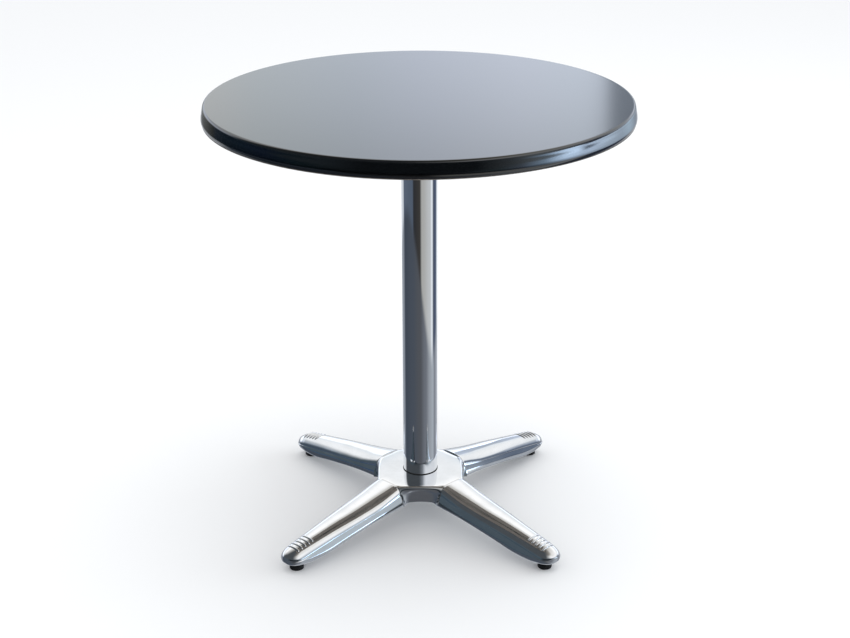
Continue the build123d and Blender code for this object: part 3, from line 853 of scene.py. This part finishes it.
# Sky in reflections, by the upward part of the direction: back, front and right.
SKY_BACK = [
    (0.00, (0.72, 0.77, 0.83)), (0.10, (0.84, 0.89, 0.95)), (0.18, (1.37, 1.49, 1.74)),
    (0.25, (1.325, 1.448, 1.68)), (0.29, (1.18, 1.28, 1.46)), (0.36, (0.88, 0.94, 1.00)),
    (0.48, (0.98, 1.01, 1.04)), (0.66, (1.18, 1.19, 1.20)), (0.84, (0.55, 0.54, 0.51)),
    (1.00, (0.26, 0.24, 0.21))]
SKY_FRONT = [
    (0.00, (0.010, 0.014, 0.018)), (0.26, (0.020, 0.024, 0.030)), (0.40, (0.16, 0.18, 0.21)),
    (0.48, (0.34, 0.37, 0.41)), (0.60, (0.90, 0.92, 0.94)), (0.80, (0.88, 0.88, 0.86)),
    (0.93, (0.34, 0.32, 0.29)), (1.00, (0.26, 0.24, 0.21))]
SKY_RIGHT = [
    (0.30, (0.50, 0.56, 0.62)), (0.42, (0.86, 0.90, 0.95)), (0.60, (1.06, 1.07, 1.09)),
    (0.84, (0.88, 0.88, 0.86)), (1.00, (0.26, 0.24, 0.21))]
# Low part of the sky away from the back, by heading.
SKY_LOW = [
    (0.00, (0.80, 0.86, 0.93)), (0.10, (0.45, 0.50, 0.55)), (0.18, (0.10, 0.13, 0.16)),
    (0.22, (0.067, 0.093, 0.116)), (0.36, (0.067, 0.093, 0.116)), (0.42, (0.018, 0.024, 0.030)),
    (0.58, (0.018, 0.024, 0.030)), (0.63, (0.20, 0.23, 0.26)), (0.67, (0.49, 0.56, 0.62)),
    (0.73, (0.45, 0.51, 0.57)), (0.785, (0.12, 0.155, 0.22)), (0.86, (0.18, 0.22, 0.29)),
    (0.92, (0.70, 0.75, 0.80)), (1.00, (0.80, 0.86, 0.93))]
# Tint of the band at the back that the table top reflects, by X from -0.3 to 0.3: warmer
# towards the left and brighter towards the right, up to the light's edge.
BAND_TINT = [
    (0.00, (1.00, 1.00, 1.00)), (0.167, (1.00, 0.97, 0.90)), (0.283, (1.00, 0.95, 0.83)),
    (0.333, (0.92, 0.92, 0.845)), (0.432, (0.92, 0.93, 0.905)), (0.50, (1.00, 1.00, 1.00)),
    (0.609, (1.15, 1.145, 1.138)), (0.672, (1.17, 1.185, 1.17)), (0.691, (1.12, 1.13, 1.12)),
    (0.698, (0.31, 0.33, 0.345)), (0.833, (0.45, 0.47, 0.50)), (0.967, (1.00, 1.00, 1.00))]


def as_turns(tree, angle):
    """An angle in radians as a heading from 0 to 1."""
    return math_node(tree, "ADD", math_node(tree, "DIVIDE", angle, 2 * math.pi), 0.5)


def horizon_glow(tree, x, y, up):
    """Colour of the studio near eye level in a direction, and the direction's heading."""
    heading = as_turns(tree, math_node(tree, "ARCTAN2", x, reverse(tree, y)))
    colour = ramp_node(tree, heading, HORIZON)
    height = math_node(tree, "DIVIDE", math_node(tree, "ADD", up, 0.2), 0.3)
    rise = ramp_node(tree, height, [(place, (grey,) * 3) for place, grey in HORIZON_RISE])
    lit = mix_colour(tree, 1.0, colour, rise, "MULTIPLY")
    # From the right round to the back it is dark, except well below eye level.
    dark = math_node(tree, "MULTIPLY", smooth_node(tree, heading, 0.740, 0.765),
                     smooth_node(tree, up, -0.045, -0.022))
    return mix_colour(tree, dark, lit, (0.10, 0.13, 0.19)), heading


def floor_with_painted_reflections():
    """Pale to the camera; in reflections it glows with a painted reflection of the grey studio
    floor round the table, with painted shade near the table.
    """
    material = bpy.data.materials.new("studio_floor_painted_reflections")
    material.use_nodes = True
    tree = material.node_tree
    tree.nodes.clear()
    output = tree.nodes.new("ShaderNodeOutputMaterial")
    path = tree.nodes.new("ShaderNodeLightPath").outputs
    geometry = tree.nodes.new("ShaderNodeNewGeometry")
    pale = tree.nodes.new("ShaderNodeBsdfDiffuse")
    pale.inputs["Color"].default_value = (0.93, 0.93, 0.935, 1)
    # This glow shows only in reflections: a painted reflection, not lit by any lamp.
    glow = tree.nodes.new("ShaderNodeEmission")

    in_x, in_y, in_z = incoming_axes(tree, geometry)
    heading = as_turns(tree, math_node(tree, "ARCTAN2", reverse(tree, in_x), in_y))
    far = ramp_node(tree, heading, PAINTED_FLOOR_FAR, "EASE")
    near = ramp_node(tree, heading, PAINTED_FLOOR_NEAR, "EASE")
    # The far floor starts closer on the right.
    reach = math_node(tree, "ADD", path["Ray Length"], math_node(tree, "MULTIPLY", in_x, -0.55))
    colour = mix_colour(tree, smooth_node(tree, reach, 1.16, 1.36), near, far)
    horizon, _ = horizon_glow(tree, *[reverse(tree, axis) for axis in (in_x, in_y, in_z)])
    distant = smooth_node(tree, path["Ray Length"], 3.0, 3.5)
    colour = mix_colour(tree, distant, colour, horizon)
    tree.links.new(colour, glow.inputs["Color"])
    seen = mix_shader(tree, path["Is Glossy Ray"], pale.outputs[0], glow.outputs[0])

    # Clear to a camera underneath, so that the table's underside shows.
    clear = tree.nodes.new("ShaderNodeBsdfTransparent")
    below = math_node(tree, "MULTIPLY", geometry.outputs["Backfacing"], path["Is Camera Ray"])
    surface = mix_shader(tree, below, seen, clear.outputs[0])
    tree.links.new(surface, output.inputs["Surface"])
    return material


def reflected_sky(tree):
    """Colour of the studio in reflections, by direction."""
    axes = incoming_axes(tree, tree.nodes.new("ShaderNodeNewGeometry"))
    x, y, up = [reverse(tree, axis) for axis in axes]
    back = ramp_node(tree, up, SKY_BACK, "EASE")
    front = ramp_node(tree, up, SKY_FRONT, "EASE")
    horizon, heading = horizon_glow(tree, x, y, up)
    low = ramp_node(tree, heading, SKY_LOW)
    front = mix_colour(tree, smooth_node(tree, x, -0.20, 0.50), (0.07, 0.08, 0.09), front)
    right = ramp_node(tree, up, SKY_RIGHT, "EASE")
    front = mix_colour(tree, smooth_node(tree, x, 0.18, 0.60), front, right)
    front = mix_colour(tree, smooth_node(tree, up, 0.33, 0.42), low, front)
    sky = mix_colour(tree, smooth_node(tree, y, 0.20, 0.55), front, back)

    across = math_node(tree, "DIVIDE", math_node(tree, "ADD", x, 0.3), 0.6)
    tint = ramp_node(tree, across, BAND_TINT)
    band = math_node(tree, "MULTIPLY", smooth_node(tree, up, 0.15, 0.19),
                     one_minus(tree, smooth_node(tree, up, 0.32, 0.37)))
    tinted = math_node(tree, "MULTIPLY", band, smooth_node(tree, y, 0.5, 0.8))
    sky = mix_colour(tree, tinted, sky, tint, "MULTIPLY")

    # The horizon takes over at eye level and below, except straight back.
    level = math_node(tree, "MULTIPLY", one_minus(tree, smooth_node(tree, up, 0.012, 0.035)),
                      one_minus(tree, smooth_node(tree, y, 0.90, 0.97)))
    return mix_colour(tree, level, sky, horizon)


def build_world():
    """White to the camera, even pale light on the table, a drawn studio in reflections."""
    world = bpy.data.worlds.new("studio")
    scene.world = world
    world.use_nodes = True
    tree = world.node_tree
    tree.nodes.clear()
    output = tree.nodes.new("ShaderNodeOutputWorld")

    def background(colour):
        node = tree.nodes.new("ShaderNodeBackground")
        feed(tree, node.inputs["Color"], colour)
        return node.outputs[0]

    seen = background((1.0, 1.0, 1.0))
    soft = background((0.97, 0.985, 1.0))
    glossy = background(reflected_sky(tree))
    path = tree.nodes.new("ShaderNodeLightPath").outputs
    light = mix_shader(tree, path["Is Glossy Ray"], soft, glossy)
    surface = mix_shader(tree, path["Is Camera Ray"], light, seen)
    tree.links.new(surface, output.inputs["Surface"])


def softbox(name, *, location, target, width, height, power, colour):
    """A rectangular light that stays out of reflections. Power is in watts."""
    data = bpy.data.lights.new(name, "AREA")
    data.shape = "RECTANGLE"
    data.size = width
    data.size_y = height
    data.energy = power
    data.color = colour
    lamp = bpy.data.objects.new(name, data)
    scene.collection.objects.link(lamp)
    lamp.location = location
    aim = Vector(target) - Vector(location)
    lamp.rotation_euler = aim.to_track_quat("-Z", "Y").to_euler()
    lamp.visible_glossy = False


# The floor lies just under the feet.
bpy.ops.mesh.primitive_grid_add(x_subdivisions=8, y_subdivisions=8, size=60,
                                location=(0, 0, -0.0004))
floor = bpy.context.object
floor.name = "studio_floor"
floor.data.materials.append(floor_with_painted_reflections())
floor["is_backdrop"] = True

build_world()
softbox("soft_overhead", location=(0.2, 0.2, 3.4), target=(0, 0, 0.5),
        width=2.6, height=2.6, power=26, colour=(1, 1, 1))
softbox("soft_right", location=(3.0, 0.55, 0.95), target=(0.0, 0.0, 0.7),
        width=2.6, height=1.1, power=30, colour=(0.86, 0.94, 1.0))

# ------------------------------------------------------------------ camera
CAMERA_PLACE = (0.0, -2.508065, 1.395555)
YAW, PITCH, ROLL = 0.0035, 0.3910, 0.0023  # radians: to the right, downwards, about the view
SENSOR_MM = 36.0
LENS_MM = 67.5821647059


def build_camera():
    forward = Vector((math.sin(YAW) * math.cos(PITCH), math.cos(YAW) * math.cos(PITCH),
                      -math.sin(PITCH)))
    right = Vector((math.cos(YAW), -math.sin(YAW), 0.0))
    down = forward.cross(right)
    rolled_right = right * math.cos(ROLL) + down * math.sin(ROLL)
    rolled_down = right * -math.sin(ROLL) + down * math.cos(ROLL)
    data = bpy.data.cameras.new("camera")
    data.sensor_width = SENSOR_MM
    data.lens = LENS_MM
    data.clip_start = 0.05
    data.clip_end = 100.0
    camera = bpy.data.objects.new("camera", data)
    scene.collection.objects.link(camera)
    rotation = Matrix((rolled_right, -rolled_down, -forward)).transposed().to_4x4()
    camera.matrix_world = Matrix.Translation(CAMERA_PLACE) @ rotation
    scene.camera = camera


build_camera()


# ------------------------------------------------------------------ sizes
def box_list(box):
    """A bounding box as plain lists and numbers."""
    out = []
    for part in box:
        # A part may be a corner or a single number, which can't be iterated.
        try:
            out.append([float(value) for value in part])
        except TypeError:
            out.append(float(part))
    return out


{"cad": box_list(CAD_BOX), "visual": box_list(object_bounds())}
